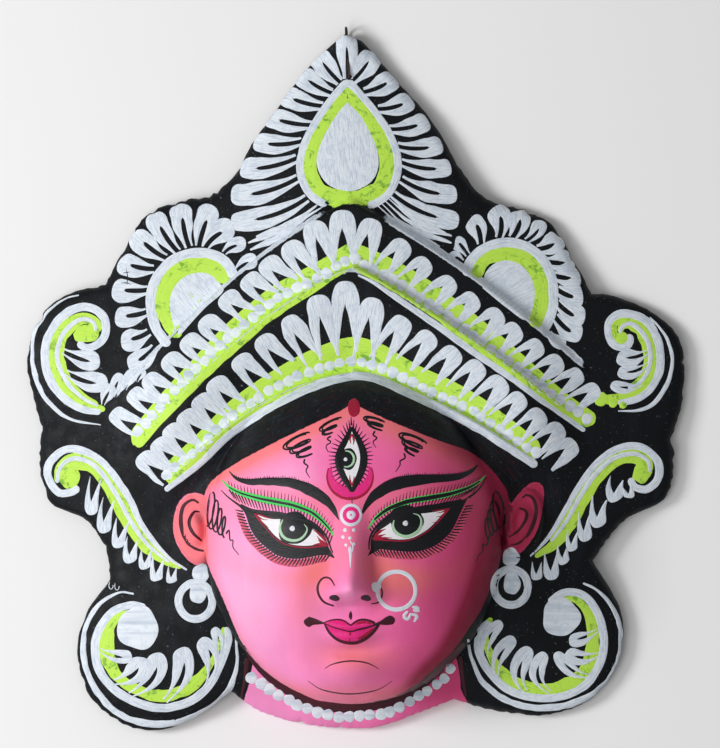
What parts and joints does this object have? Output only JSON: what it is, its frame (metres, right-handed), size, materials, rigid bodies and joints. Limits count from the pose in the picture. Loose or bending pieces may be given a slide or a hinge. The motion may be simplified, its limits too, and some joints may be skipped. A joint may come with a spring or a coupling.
{
  "type": "chhau mask",
  "caption": "Moulded paper chhau mask of a crowned goddess, hollow behind, painted pink, black, white and lime, with a hanging wire at the crown's tip.",
  "frame": {"origin": "on the surface that the mask's rim lies on, under the middle of its width and height", "axes": "+X to the right of a viewer who faces the mask, +Y from the chin towards the crown's tip, +Z out of the face"},
  "size_m": [0.2964, 0.3164, 0.0794],
  "materials": {
    "painted_paper": "poster colours on moulded paper, satin",
    "wire": "dull brown, annealed"
  },
  "bodies": {
    "root": {"mask_shell": "painted_paper", "hanging_wire": "wire"}
  },
  "joints": []
}
